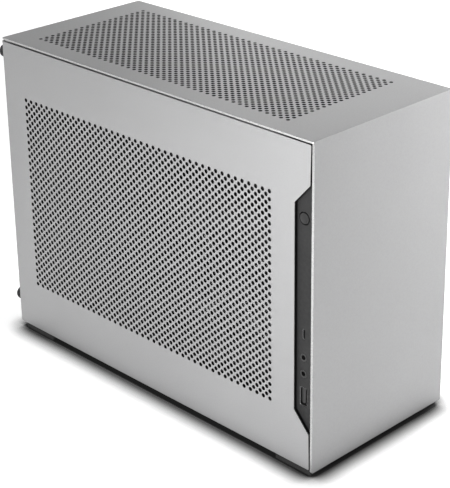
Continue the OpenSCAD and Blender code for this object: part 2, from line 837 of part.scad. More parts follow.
// The card's bracket, with vents, and the sockets for displays in it
module graphics_bracket() {
    color("lightgray") {
        plate_xz(frame_rear_y - 1, 1) difference() {
            rect(bracket_low + [0.2, 0.2], bracket_high - [0.2, 0.2]);
            for (z = display_zs) translate([display_x, z]) square([6.2, 16.5], center = true);
            for (x = [28, 42], k = [0 : 10]) translate([x, gpu_z + 6 + k * 8]) round_rect([10, 4], 1.9);
        }
        block([gpu_board_x, gpu_rear_y, gpu_z + 4], [gpu_board_x + 1, frame_rear_y - 1, gpu_z + 20]);
    }
    color("black") for (z = display_zs) difference() {
        block([display_x - 3, gpu_rear_y - 6, z - 8.1], [display_x + 3, frame_rear_y + 0.2, z + 8.1]);
        difference() {
            block([display_x - 2.2, rear_y - 9, z - 7.3], [display_x + 2.2, rear_y + 1, z + 7.3]);
            block([display_x - 0.6, rear_y - 10, z - 5.8], [display_x + 1, rear_y - 2, z + 5.8]);
        }
    }
}

// A ribbon from the main board's slot, under the tray and up to the card
module riser_cable() {
    plug_z = mb_z + 4;
    ribbon_x = mb_face_x - 17;
    low_z = floor_top_z + 1;
    card_x = gpu_board_x;
    color("black") {
        block([ribbon_x, slot_y + 2, plug_z], [mb_face_x - 11, slot_y + slot_l - 14, plug_z + 7]);
        block([ribbon_x - riser_t, slot_y + 6, low_z], [ribbon_x, slot_y + 6 + riser_w, plug_z + 6]);
        block([ribbon_x, slot_y + 6, low_z], [card_x + riser_t, slot_y + 6 + riser_w, low_z + riser_t]);
        block([card_x, slot_y + 6, low_z + riser_t], [card_x + riser_t, slot_y + 6 + riser_w, gpu_z - 10]);
        block([gpu_x - 2, slot_y + 2, gpu_z - 10], [gpu_x + 7, slot_y + slot_l - 14, gpu_z]);
    }
}

// ---- Power supply ----

module supply_case() {
    wall = 1;
    high = psu_at + psu_size;
    color("dimgray") difference() {
        block(psu_at, high);
        block(psu_at + wall * [1, 1, 1], high - wall * [1, 1, 1]);
        bar_x([psu_at[0] - 1, psu_mid_y, psu_mid_z], psu_fan_r, 3);
        for (x = [-56 : 8 : -16], z = [128 : 8 : 168])
            bar_y([x, psu_at[1] - 1, z], 2.5, 3);
        block([-41, psu_at[1] - 1, 92], [-19, psu_at[1] + 2, 108]);
    }
}

module supply_grille() {
    color("gray") translate([psu_at[0] - 0.7, psu_mid_y, psu_mid_z]) rotate([0, 90, 0]) {
        for (r = [14 : 9 : 41]) rotate_extrude() translate([r, 0]) circle(0.6, $fn = 16);
        for (a = [45 : 90 : 315]) rotate(a) translate([13, -1, -0.6]) cube([31, 2, 1.2]);
    }
}

module supply_rotor() {
    color("black") translate([psu_at[0] + 3, psu_mid_y, psu_mid_z]) rotate([0, 90, 0]) rotor(41, 15, 10, 9);
}

// The fan's carrier, and the circuit board with its coils and coolers
module supply_internals() {
    x = psu_at[0] + 14.5;
    board_x = psu_at[0] + psu_size[0] - 5;
    color("black") {
        bar_x([x, psu_mid_y, psu_mid_z], 15, 2);
        for (a = [-1, 1])
            block([x, psu_mid_y - 48.9, psu_mid_z + a * 8 - 3],
                [x + 2, psu_mid_y + 48.9, psu_mid_z + a * 8 + 3]);
    }
    color("darkgreen")
        block([board_x, psu_at[1] + 8, psu_at[2] + 3], [board_x + 1.6, psu_at[1] + 96, psu_at[2] + 122]);
    color("gray") for (k = [0 : 3])
        block([x + 6, psu_at[1] + 12 + (k % 2) * 44, psu_at[2] + 6 + k * 28],
            [board_x, psu_at[1] + 50 + (k % 2) * 44, psu_at[2] + 28 + k * 28]);
}

module supply_mains_plug() {
    color("black") block([-41, psu_at[1] - 14, 92.3], [-19, psu_at[1] + 6, 107.7]);
}

module mains_inlet() {
    color("black") difference() {
        union() {
            block([inlet_x - 13.5, rear_y - 23, inlet_z - 10], [inlet_x + 13.5, frame_rear_y, inlet_z + 10]);
            plate_xz(frame_rear_y, 1.5) translate([inlet_x, inlet_z]) round_rect([44, 24], 4);
        }
        translate([inlet_x, 0, inlet_z]) plate_xz(rear_y - 16, 18) round_rect([24.5, 16.5], 3);
        for (s = [-1, 1]) bar_y([inlet_x + s * 18, frame_rear_y - 2, inlet_z], 1.7, 4);
    }
    color("silver") for (s = [-1, 0, 1])
        block([inlet_x + s * 7 - 1, rear_y - 17, inlet_z - 2 + (s == 0 ? 3 : 0)],
            [inlet_x + s * 7 + 1, rear_y - 4, inlet_z + 2 + (s == 0 ? 3 : 0)]);
}

module mains_cable() {
    color("black") tube(mains_route, 3.3, 10);
}

module power_cables() {
    color("black") {
        tube(board_power_route, 4, 10);
        tube(graphics_power_route, 3.5, 10);
    }
}

module solid_state_drive() {
    color("gray") block([8, frame_front_y + steel_t, 90], [42, frame_front_y + steel_t + 7, 190]);
}

front_panel();
top_cover();
left_cover();
right_cover();
top_cover_studs();
left_cover_studs();
right_cover_studs();
stud_clips();
floor_plate();
front_frame();
rear_frame();
left_top_rail();
right_top_rail();
dividing_tray();
foot_front_left();
foot_front_right();
foot_rear_left();
foot_rear_right();
thumb_screw_left_upper();
thumb_screw_left_lower();
thumb_screw_right_upper();
thumb_screw_right_lower();
port_strip();
power_button();
power_switch();
port_board();
usb_c_port();
usb_a_port();
audio_jacks();
main_board();
board_standoffs();
board_sockets();
memory_modules();
board_heatsinks();
rear_port_shield();
rear_ports();
pump_block();
coolant_hoses();
radiator();
fan_frame_front();
fan_frame_rear();
fan_rotor_front();
fan_rotor_rear();
graphics_board();
graphics_backplate();
graphics_heatsink();
graphics_shroud();
graphics_bracket();
graphics_rotor_front();
graphics_rotor_rear();
riser_cable();
supply_case();
supply_grille();
supply_rotor();
supply_internals();
supply_mains_plug();
mains_inlet();
mains_cable();
power_cables();
solid_state_drive();
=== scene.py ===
"""The looks of a compact desktop computer tower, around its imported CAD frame.

Lengths in the shape helpers are millimetres, and Shape.build turns them into metres. The covers are
drawn with every hole of the real perforation, which the CAD draws at twice the pitch and size.
"""
import math

import bmesh
import bpy
from mathutils import Matrix, Vector
from mathutils.geometry import delaunay_2d_cdt
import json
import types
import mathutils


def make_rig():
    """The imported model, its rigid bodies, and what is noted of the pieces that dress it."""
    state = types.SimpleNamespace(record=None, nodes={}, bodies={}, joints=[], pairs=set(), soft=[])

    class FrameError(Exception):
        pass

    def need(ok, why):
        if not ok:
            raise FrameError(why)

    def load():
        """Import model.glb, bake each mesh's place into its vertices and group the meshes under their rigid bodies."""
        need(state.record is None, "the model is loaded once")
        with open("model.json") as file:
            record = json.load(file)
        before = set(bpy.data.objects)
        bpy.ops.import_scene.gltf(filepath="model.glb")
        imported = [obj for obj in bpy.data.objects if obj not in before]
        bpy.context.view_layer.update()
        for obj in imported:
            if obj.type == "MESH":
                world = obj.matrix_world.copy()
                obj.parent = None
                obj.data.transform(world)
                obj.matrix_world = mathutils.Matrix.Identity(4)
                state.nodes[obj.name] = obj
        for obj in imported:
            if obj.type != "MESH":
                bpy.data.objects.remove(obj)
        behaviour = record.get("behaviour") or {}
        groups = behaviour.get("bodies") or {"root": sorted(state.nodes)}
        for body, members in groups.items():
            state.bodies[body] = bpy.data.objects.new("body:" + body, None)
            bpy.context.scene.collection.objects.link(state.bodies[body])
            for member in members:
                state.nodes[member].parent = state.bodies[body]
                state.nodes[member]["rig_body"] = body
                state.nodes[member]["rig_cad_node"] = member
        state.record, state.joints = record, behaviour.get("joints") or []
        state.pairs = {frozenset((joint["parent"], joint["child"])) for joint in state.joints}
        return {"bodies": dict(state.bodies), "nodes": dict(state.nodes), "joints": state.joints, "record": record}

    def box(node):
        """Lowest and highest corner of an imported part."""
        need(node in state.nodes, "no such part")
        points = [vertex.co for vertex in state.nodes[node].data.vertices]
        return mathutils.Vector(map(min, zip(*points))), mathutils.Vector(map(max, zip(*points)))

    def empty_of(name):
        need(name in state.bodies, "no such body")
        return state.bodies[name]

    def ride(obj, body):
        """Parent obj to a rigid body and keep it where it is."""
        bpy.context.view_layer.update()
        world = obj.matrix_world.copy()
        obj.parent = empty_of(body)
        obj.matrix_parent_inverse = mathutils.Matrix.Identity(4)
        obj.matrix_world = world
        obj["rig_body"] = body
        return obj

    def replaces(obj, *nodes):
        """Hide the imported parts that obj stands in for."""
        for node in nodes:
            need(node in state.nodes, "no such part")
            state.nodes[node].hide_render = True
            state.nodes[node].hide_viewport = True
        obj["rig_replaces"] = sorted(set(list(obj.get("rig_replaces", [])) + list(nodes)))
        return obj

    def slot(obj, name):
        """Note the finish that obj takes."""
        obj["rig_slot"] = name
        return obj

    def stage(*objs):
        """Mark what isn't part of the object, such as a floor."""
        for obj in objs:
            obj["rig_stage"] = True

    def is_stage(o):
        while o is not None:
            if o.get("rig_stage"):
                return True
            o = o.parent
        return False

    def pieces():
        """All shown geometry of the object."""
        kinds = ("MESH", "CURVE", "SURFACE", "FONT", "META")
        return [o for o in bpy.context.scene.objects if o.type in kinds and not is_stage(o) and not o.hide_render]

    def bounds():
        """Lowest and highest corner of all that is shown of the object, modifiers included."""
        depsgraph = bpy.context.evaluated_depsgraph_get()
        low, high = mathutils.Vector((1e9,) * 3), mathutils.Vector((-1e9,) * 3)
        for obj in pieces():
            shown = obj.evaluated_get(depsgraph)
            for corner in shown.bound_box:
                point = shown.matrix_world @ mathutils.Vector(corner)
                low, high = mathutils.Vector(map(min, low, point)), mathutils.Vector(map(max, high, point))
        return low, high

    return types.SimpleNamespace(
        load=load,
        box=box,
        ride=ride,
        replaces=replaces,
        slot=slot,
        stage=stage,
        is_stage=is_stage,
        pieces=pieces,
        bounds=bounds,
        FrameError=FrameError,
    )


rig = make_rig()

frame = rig.load()
CAD_LOW, CAD_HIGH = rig.bounds()
MM = 0.001

# The shell: sheet and panel thickness, half its width, and the bend and flange of a side cover
SHEET_T, PANEL_T, HALF_W = 1.5, 2.0, 70.0
BEND_R, FLANGE = 2.0, 15.0

# The front panel's lip, the gap behind it, which a nearly black block fills as painted shade, and the panel's four
# stud places
LIP, LIP_GAP, LIP_DEPTH = 0.2, 1.2, 1.8
STUD_XS, STUD_ZS, STUD_R = (-36, 44), (17, 233), 1.5

# How far a side cover stands in from its CAD solid: at its front and low edges, and at the top
COVER_INSET, COVER_DROP = 0.3, 0.5

# The screw slots in a flange: up from its low edge, down from the top, in from its end, half height
SLOT_RISE, SLOT_DROP, SLOT_IN, SLOT_HALF = 20.7, 13.5, 9.3, 1.8

# The notch: its middle down from the top, its depth, and half its height outside and inside
NOTCH_DROP, NOTCH_DEPTH, NOTCH_OUTER, NOTCH_INNER = 123.35, 18.0, 92, 77.5

# The perforation: pitches, numbers of columns and rows, hole radii, and where it starts, in from the
# rear edge of the top cover and down from the top of a side cover
COLUMN, ROW = 3.17, 2.9
COLUMNS, SIDE_ROWS, TOP_ROWS = 83, 55, 37
SIDE_HOLE_R, TOP_HOLE_R, HOLE_STEPS = 1.58, 1.46, 16
FIELD_REAR, FIELD_TOP = 25.55, 45.1

# The port strip: opening for the button, audio holes, and the two walls behind it
BUTTON_HOLE_R, AUDIO_HOLE_R = 4.6, 3.15
WALL_FRONT, WALL_REAR, WALL_T = 2.9, 1.5, 1.5

# The feet: how far their screws are from the middle, their width, and its shift outwards
FOOT_SCREW_X, FOOT_W, FOOT_SHIFT = 58.0, 19.5, 1.75


def low(node):
    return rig.box(node)[0] / MM


def high(node):
    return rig.box(node)[1] / MM


# ---------------------------------------------------------------- shapes


class Shape:
    """Vertices and faces in millimetres, with a finish number for each face."""

    def __init__(self):
        self.points, self.faces, self.numbers = [], [], []

    def add(self, points, faces, number=0):
        start = len(self.points)
        self.points += points
        self.faces += [tuple(start + k for k in f) for f in faces]
        self.numbers += [number] * len(faces)

    def ring(self, a, b, number=0):
        """Quads between two closed loops that have the same number of points."""
        n = len(a)
        quads = [(k, (k + 1) % n, n + (k + 1) % n, n + k) for k in range(n)]
        self.add(list(a) + list(b), quads, number)

    def build(self, name, body, finishes, replaces=(), slot=None, sharp=35):
        mesh = bpy.data.meshes.new(name)
        mesh.from_pydata([Vector(p) * MM for p in self.points], [], self.faces)
        for finish in finishes:
            mesh.materials.append(finish)
        mesh.polygons.foreach_set("material_index", self.numbers)
        whole = bmesh.new()
        whole.from_mesh(mesh)
        bmesh.ops.remove_doubles(whole, verts=whole.verts, dist=2e-6)
        bmesh.ops.recalc_face_normals(whole, faces=whole.faces)
        whole.to_mesh(mesh)
        whole.free()
        mesh.shade_smooth()
        mesh.set_sharp_from_angle(angle=math.radians(sharp))
        piece = bpy.data.objects.new(name, mesh)
        bpy.context.scene.collection.objects.link(piece)
        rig.ride(piece, body)
        if replaces:
            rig.replaces(piece, *replaces)
        if slot:
            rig.slot(piece, slot)
        return piece


def rounded(corners, radius, steps=5):
    """A closed outline with its corners rounded; radius is one number or one for each corner."""
    radii = radius if isinstance(radius, (list, tuple)) else [radius] * len(corners)
    outline = []
    for k, r in enumerate(radii):
        at = Vector(corners[k])
        to_last = (Vector(corners[k - 1]) - at).normalized()
        to_next = (Vector(corners[(k + 1) % len(corners)]) - at).normalized()
        if r <= 0:
            outline.append(tuple(at))
            continue
        half = to_last.angle(to_next) / 2
        centre = at + (to_last + to_next).normalized() * (r / math.sin(half))
        start = at + to_last * (r / math.tan(half)) - centre
        end = at + to_next * (r / math.tan(half)) - centre
        for m in range(steps + 1):
            outline.append(tuple(centre + start.slerp(end, m / steps)))
    return outline


def box_outline(low_corner, high_corner, radius=0.0, steps=5):
    (a, b), (c, d) = low_corner, high_corner
    return rounded([(a, b), (c, b), (c, d), (a, d)], radius, steps)


def circle(centre, radius, steps=32):
    turn = [2 * math.pi * k / steps for k in range(steps)]
    return [(centre[0] + radius * math.cos(a), centre[1] + radius * math.sin(a)) for a in turn]


def area(loop):
    return sum(
        loop[k - 1][0] * loop[k][1] - loop[k][0] * loop[k - 1][1] for k in range(len(loop))
    ) / 2


def grown(loop, by):
    """The outline moved outwards by a distance, or inwards by a negative one."""
    turn = 1 if area(loop) > 0 else -1
    moved = []
    for k in range(len(loop)):
        a, b, c = (Vector(loop[(k + m) % len(loop)]) for m in (-1, 0, 1))
        d, e = (b - a).normalized(), (c - b).normalized()
        out = (Vector((d.y, -d.x)) + Vector((e.y, -e.x))) * turn
        out.normalize()
        across = Vector((d.y, -d.x)) * turn
        moved.append(tuple(b + out * (by / max(out.dot(across), 0.2))))
    return moved


def holds(loops, p):
    """Whether an odd number of the loops go round a point."""
    odd = False
    for loop in loops:
        for k in range(len(loop)):
            (x1, y1), (x2, y2) = loop[k - 1], loop[k]
            if (y1 > p[1]) != (y2 > p[1]) and p[0] < x1 + (p[1] - y1) * (x2 - x1) / (y2 - y1):
                odd = not odd
    return odd


def fill(loops, cuts=()):
    """Flat triangles between loops, and their points. Each cut is a line that none crosses."""
    points, edges = [], []
    for loop in loops:
        n, start = len(loop), len(points)
        points += loop
        edges += [(start + k, start + (k + 1) % n) for k in range(n)]
    for a, b in cuts:
        edges.append((len(points), len(points) + 1))
        points += [a, b]
    found, _, faces, *_ = delaunay_2d_cdt([Vector(p) for p in points], edges, [], 0, 1e-5)
    middles = [sum((found[k] for k in f), Vector((0, 0))) / 3 for f in faces]
    kept = [tuple(f) for f, m in zip(faces, middles) if holds(loops, m)]
    return [tuple(p) for p in found], kept


def slab(shape, outline, holes, put, t, ease=0.3, hole_ease=0.0, face=0, edge=1, cuts=(), field=()):
    """A sheet between depth 0 and t, with a small chamfer along its front edge.

    put(u, v, depth) gives the place of a point. A field is a loop that other faces fill."""
    front = [grown(outline, -ease)] + [grown(h, hole_ease) for h in holes] + list(field)
    back = [outline] + list(holes) + list(field)
    for loops, depth in ((front, 0.0), (back, t)):
        points, faces = fill(loops, cuts)
        shape.add([put(u, v, depth) for u, v in points], faces, face)
    for k, loop in enumerate([outline] + list(holes)):
        depth = hole_ease if k else ease
        steps = [[put(u, v, d) for u, v in p] for p, d in ((front[k], 0), (loop, depth), (loop, t))]
        if depth:
            shape.ring(steps[0], steps[1], edge)
        shape.ring(steps[1], steps[2], edge)


# ---------------------------------------------------------------- perforation


class Perforation:
    """Rows of holes in a lattice. Each hole has a rhombus of sheet, and these fill the plane."""

    def __init__(self, start, step, rows, hole_r):
        self.start, self.step, self.rows, self.hole_r = start, step, rows, hole_r

    def at(self, i, j):
        return (self.start[0] + i * self.step[0], self.start[1] + j * self.step[1])

    def outline(self):
        """The zigzag round the outermost rhombi."""
        last_i, last_j = COLUMNS - 1, self.rows - 1
        ways = (
            [(i, -1 if i % 2 == 0 else 0) for i in range(last_i + 1)]
            + [(last_i + (1 if j % 2 == 0 else 0), j) for j in range(last_j + 1)]
            + [(i, last_j + (1 if i % 2 == 0 else 0)) for i in range(last_i, -1, -1)]
            + [(-1 if j % 2 == 0 else 0, j) for j in range(last_j, -1, -1)]
        )
        loop = [w for k, w in enumerate(ways) if w != ways[k - 1]]
        return [self.at(*w) for w in loop]

    def cut(self, shape, put, t, number=0, wall_number=2):
        n = HOLE_STEPS
        rim = circle((0, 0), self.hole_r, n)
        tile = []
        for q in range(4):
            a, b, first = n + q, n + (q + 1) % 4, q * n // 4
            half, quarter = n // 8, n // 4
            tile += [(a, first + m, first + m + 1) for m in range(half)]
            tile += [(a, first + half, b)]
            tile += [(b, first + m, (first + m + 1) % n) for m in range(half, quarter)]
        corners = [(abs(self.step[0]), 0), (0, abs(self.step[1]))]
        corners += [(-u, -v) for u, v in corners]
        wall = [(k, (k + 1) % n, n + (k + 1) % n, n + k) for k in range(n)]
        for i in range(COLUMNS):
            for j in range(i % 2, self.rows, 2):
                u, v = self.at(i, j)
                for depth in (0, t):
                    points = [put(u + a, v + b, depth) for a, b in rim + corners]
                    shape.add(points, tile, number)
                # The hole walls take finish number 2, the nearly black painted shade.
                points = [put(u + a, v + b, d) for d in (0, t) for a, b in rim]
                shape.add(points, wall, wall_number)


# ---------------------------------------------------------------- finishes


class Finish:
    """A material put together from shader nodes, with textures laid in the row frame, in metres."""

    def __init__(self, name, color, roughness=0.5, **values):
        self.material = bpy.data.materials.new(name)
        self.material.use_nodes = True
        self.tree = self.material.node_tree
        self.shader = self.tree.nodes["Principled BSDF"]
        self.place = self.node("ShaderNodeTexCoord").outputs["Object"]
        self.shader.inputs["Base Color"].default_value = (*color, 1)
        self.shader.inputs["Roughness"].default_value = roughness
        for key, value in values.items():
            self.shader.inputs[key.replace("_", " ")].default_value = value
        self.color = color

    def node(self, kind, **values):
        made = self.tree.nodes.new(kind)
        for key, value in values.items():
            if hasattr(made, key):
                setattr(made, key, value)
            else:
                made.inputs[key.replace("_", " ")].default_value = value
        return made

    def link(self, a, b):
        self.tree.links.new(a, b)

    def noise(self, scale, detail):
        made = self.node("ShaderNodeTexNoise", Scale=scale, Detail=detail)
        self.link(self.place, made.inputs["Vector"])
        return made.outputs["Fac"]

    def cells(self, scale):
        made = self.node("ShaderNodeTexVoronoi", Scale=scale)
        self.link(self.place, made.inputs["Vector"])
        return made.outputs["Distance"]

    def vary(self, fac, by):
        """The finish's own colour, a little darker and lighter by a texture."""
        ramp = self.node("ShaderNodeValToRGB")
        ends = ramp.color_ramp.elements
        for end, position, change in ((ends[0], 0.35, 1 - by), (ends[1], 0.65, 1 + by)):
            end.position = position
            end.color = (*(min(1.0, c * change) for c in self.color), 1)
        self.link(fac, ramp.inputs["Fac"])
        self.link(ramp.outputs["Color"], self.shader.inputs["Base Color"])
        return self

    def polish(self, fac, smooth, rough):
        """A roughness between two, by a texture."""
        span = self.node(
            "ShaderNodeMapRange", From_Min=0.3, From_Max=0.7, To_Min=smooth, To_Max=rough
        )
        self.link(fac, span.inputs["Value"])
        self.link(span.outputs["Result"], self.shader.inputs["Roughness"])
        return self

    def paint_contact_shadow(self, reach, power):
        """Painted contact shadow: darken the finish where other surfaces stand close over it, within a reach in
        metres.
        """
        near = self.node("ShaderNodeAmbientOcclusion", samples=32, Distance=reach)
        span = self.node("ShaderNodeMapRange", From_Min=0.5)
        curve = self.node("ShaderNodeMath", operation="POWER")
        curve.inputs[1].default_value = power
        mixed = self.node("ShaderNodeMix", data_type="RGBA", blend_type="MULTIPLY")
        mixed.inputs["Factor"].default_value = 1.0
        base = self.shader.inputs["Base Color"]
        self.link(near.outputs["AO"], span.inputs["Value"])
        self.link(span.outputs["Result"], curve.inputs[0])
        self.link(base.links[0].from_socket, mixed.inputs[6])
        self.link(curve.outputs["Value"], mixed.inputs[7])
        self.link(mixed.outputs[2], base)
        return self

    def glow(self, strength):
        """A little light of the finish's own colour, which evens out a wide surface."""
        self.link(
            self.shader.inputs["Base Color"].links[0].from_socket,
            self.shader.inputs["Emission Color"],
        )
        self.shader.inputs["Emission Strength"].default_value = strength
        return self

    def bump(self, fac, height, strength=1.0):
        """Relief of a height in metres; another bump lies over the first."""
        made = self.node("ShaderNodeBump", Strength=strength, Distance=height)
        self.link(fac, made.inputs["Height"])
        before = self.shader.inputs["Normal"]
        if before.is_linked:
            self.link(before.links[0].from_socket, made.inputs["Normal"])
        self.link(made.outputs["Normal"], before)
        return self


def anodised(name, color, roughness, grain):
    f = Finish(name, color, roughness, Metallic=1.0)
    f.vary(f.noise(9, 2), 0.015).polish(f.noise(900, 2), roughness - 0.03, roughness + 0.05)
    f.bump(f.noise(4200, 1), grain)
    return f


def moulded(name, color, roughness, grain=0.00002, scale=2600, gloss=0.5):
    f = Finish(name, color, roughness, Specular_IOR_Level=gloss)
    f.vary(f.noise(60, 3), 0.12).polish(f.noise(400, 3), roughness - 0.06, roughness + 0.08)
    f.bump(f.cells(scale), grain, 0.6)
    return f


def coated(name, color, roughness):
    f = Finish(name, color, roughness)
    f.vary(f.noise(35, 4), 0.15).polish(f.noise(220, 2), roughness - 0.05, roughness + 0.1)
    f.bump(f.noise(1500, 2), 0.00004, 0.7)
    return f


def finishes():
    made = {
        "anodised_aluminium": anodised("anodised_aluminium", (0.372, 0.372, 0.375), 0.48, 0.00001),
        "cut_edge": anodised("cut_edge", (0.56, 0.56, 0.56), 0.26, 0.000002),
        # Nearly black: painted shade on the hole walls, the side covers' cut edges and the gap behind the front lip.
        "painted_shade_dark": anodised("painted_shade_dark", (0.03, 0.03, 0.03), 0.55, 0.00002),
        "black_nylon": moulded("black_nylon", (0.02, 0.02, 0.02), 0.45),
        "foot_rubber": moulded("foot_rubber", (0.012, 0.012, 0.012), 0.75, 0.00003, 1800, 0.3),
        "port_strip_plastic": moulded("port_strip_plastic", (0.01, 0.01, 0.0102), 0.6, gloss=0.3),
        "button_plastic": moulded("button_plastic", (0.01, 0.01, 0.0102), 0.55, gloss=0.35),
        "connector_plastic": moulded("connector_plastic", (0.015, 0.015, 0.015), 0.4),
        "pump_plastic": moulded("pump_plastic", (0.018, 0.018, 0.02), 0.35),
        "fan_plastic": moulded("fan_plastic", (0.02, 0.02, 0.022), 0.5),
        "rotor_plastic": moulded("rotor_plastic", (0.035, 0.035, 0.037), 0.4),
        "cable_black": moulded("cable_black", (0.015, 0.015, 0.015), 0.6),
        "hose_rubber": moulded("hose_rubber", (0.015, 0.015, 0.015), 0.6),
        "ribbon_black": moulded("ribbon_black", (0.02, 0.02, 0.02), 0.4),
        "black_steel": coated("black_steel", (0.012, 0.012, 0.0125), 0.5),
        "radiator_black": coated("radiator_black", (0.015, 0.015, 0.016), 0.5),
        "memory_cooler": coated("memory_cooler", (0.03, 0.03, 0.032), 0.4),
        "black_screw": coated("black_screw", (0.016, 0.016, 0.017), 0.35),
        "circuit_board": coated("circuit_board", (0.01, 0.02, 0.015), 0.35),
        "zinc_steel": anodised("zinc_steel", (0.5, 0.51, 0.52), 0.35, 0.000003),
        "connector_metal": anodised("connector_metal", (0.55, 0.55, 0.56), 0.3, 0.000002),
        "brass": anodised("brass", (0.75, 0.55, 0.25), 0.3, 0.000003),
        "bare_aluminium": anodised("bare_aluminium", (0.7, 0.7, 0.71), 0.35, 0.000003),
        "grille_wire": anodised("grille_wire", (0.4, 0.4, 0.4), 0.35, 0.000002),
        "supply_parts": anodised("supply_parts", (0.35, 0.35, 0.36), 0.4, 0.000004),
        "drive_aluminium": anodised("drive_aluminium", (0.3, 0.3, 0.31), 0.4, 0.000004),
    }
    return {name: f.material for name, f in made.items()}


FINISH = finishes()


def dress_cad_nodes():
    for node in frame["nodes"].values():
        for use in node.material_slots:
            use.material = FINISH[use.material.name.split(".")[0]]


# ---------------------------------------------------------------- shell

# The third sheet finish is the nearly black painted shade.
SHEET_FINISH = [FINISH[k] for k in ("anodised_aluminium", "cut_edge", "painted_shade_dark")]


def make_front_panel():
    """The plate, with a thin lip at the top that hides the front edge of the top cover."""
    a, b = low("front_panel"), high("front_panel")
    shape = Shape()
    slab(
        shape, box_outline((a.x, a.z), (b.x, b.z), 0.5), [],
        lambda u, v, d: (u, a.y + d, v), LIP, ease=0.05, edge=0,
    )
    slab(
        shape, box_outline((a.x, a.z), (b.x, b.z - LIP_DEPTH), 0.5), [],
        lambda u, v, d: (u, a.y + LIP + d, v), PANEL_T - LIP, ease=0.0,
    )
    # A nearly black block fills the gap behind the lip: a painted shade line along the seam.
    slab(
        shape, box_outline((a.x + 0.7, b.z - LIP_DEPTH - 0.2), (b.x - 0.7, b.z - 0.1)), [],
        lambda u, v, d: (u, a.y + LIP + d, v), LIP_GAP - 0.05, ease=0.0, face=2, edge=2,
    )
    for x in STUD_XS:
        for z in STUD_ZS:
            turn = circle((x, z), STUD_R, 20)
            root, tip = ([(u, y, v) for u, v in turn] for y in (a.y + PANEL_T - 0.1, b.y))
            shape.ring(root, tip, 0)
            shape.add(tip, [tuple(range(20))], 0)
    shape.build("front_panel_sheet", "chassis", SHEET_FINISH, ["front_panel"], "anodised_aluminium")


def make_top_cover():
    """The flat top sheet, perforated up to near its edges."""
    a, b = low("top_cover"), high("top_cover")
    field = Perforation(
        (b.y - FIELD_REAR, (1 - TOP_ROWS) / 2 * ROW), (-COLUMN, ROW), TOP_ROWS, TOP_HOLE_R
    )
    put = lambda u, v, d: (v, u, b.z - d)
    shape = Shape()
    front = low("front_panel").y + LIP + LIP_GAP
    corners = [(front, a.x), (b.y, a.x), (b.y, b.x), (front, b.x)]
    outline = rounded(corners, [0.3, 1.0, 1.0, 0.3])
    slab(shape, outline, [], put, SHEET_T, ease=0.08, field=[field.outline()])
    field.cut(shape, put, SHEET_T)
    shape.build(
        "top_cover_sheet", "top_cover_assembly", SHEET_FINISH, ["top_cover"], "anodised_aluminium"
    )


def side_outline(a, b, bend_y, reach, notched):
    """A side cover, laid flat: the sheet, its bend and the rear flange with its two slots."""
    top, end = high("top_cover").z, bend_y + reach
    corners, radii = [(a.y, a.z), (end, a.z)], [1.0, 1.0]
    for z in (a.z + SLOT_RISE, top - SLOT_DROP):
        seat, half = end - SLOT_IN, SLOT_HALF
        corners += [(end, z - half), (seat, z - half), (seat, z + half), (end, z + half)]
        radii += [0.4, 1.75, 1.75, 0.4]
    corners += [(end, b.z), (a.y, b.z)]
    radii += [1.0, 1.0]
    if notched:
        middle, deep = top - NOTCH_DROP, low("front_panel").y + NOTCH_DEPTH
        corners += [(a.y, middle + NOTCH_OUTER), (deep, middle + NOTCH_INNER)]
        corners += [(deep, middle - NOTCH_INNER), (a.y, middle - NOTCH_OUTER)]
        radii += [1.5, 1.5, 1.5, 1.5]
    return rounded(corners, radii, 4)


def make_side_cover(side, name, node, body, notched):
    """A side cover on one side, -1 or 1, folded in at the rear edge."""
    a = low(node) + Vector((0, COVER_INSET, COVER_INSET))
    b = high(node) - Vector((0, 0, COVER_DROP))
    bend_y = b.y - BEND_R
    arc = math.pi / 2 * (BEND_R - SHEET_T / 2)
    flange = FLANGE - BEND_R

    def put(u, v, d):
        if u <= bend_y:
            return (side * (HALF_W - d), u, v)
        turn = min((u - bend_y) / arc, 1.0) * math.pi / 2
        past = max(u - bend_y - arc, 0.0)
        r = BEND_R - d
        return (
            side * (HALF_W - BEND_R + r * math.cos(turn) - past), bend_y + r * math.sin(turn), v
        )

    field = Perforation(
        (high("top_cover").y - FIELD_REAR, high("top_cover").z - FIELD_TOP),
        (-COLUMN, -ROW), SIDE_ROWS, SIDE_HOLE_R,
    )
    shape = Shape()
    outline = side_outline(a, b, bend_y, arc + flange, notched)
    cuts = [
        ((bend_y + arc * k / 6, a.z + 0.25), (bend_y + arc * k / 6, b.z - 0.25)) for k in range(7)
    ]
    # The cut edges take the nearly black finish: painted shade along the edges and the notch.
    slab(
        shape, outline, [], put, SHEET_T, ease=0.25, edge=2, cuts=cuts, field=[field.outline()]
    )
    field.cut(shape, put, SHEET_T)
    shape.build(name, body, SHEET_FINISH, [node], "anodised_aluminium")


# ---------------------------------------------------------------- port strip


def strip_place(x):
    return lambda u, v, d: (x + d, u, v)


def along_strip():
    """Height of each thing in the port strip, and the line that they stand on."""
    heights = {n: (low(n).z + high(n).z) / 2 for n in ("power_button", "usb_c_port", "usb_a_port")}
    middle = (low("usb_a_port").y + high("usb_a_port").y) / 2
    jacks = [low("audio_jacks").z + 5.5, high("audio_jacks").z - 5.5]
    return middle, heights, jacks


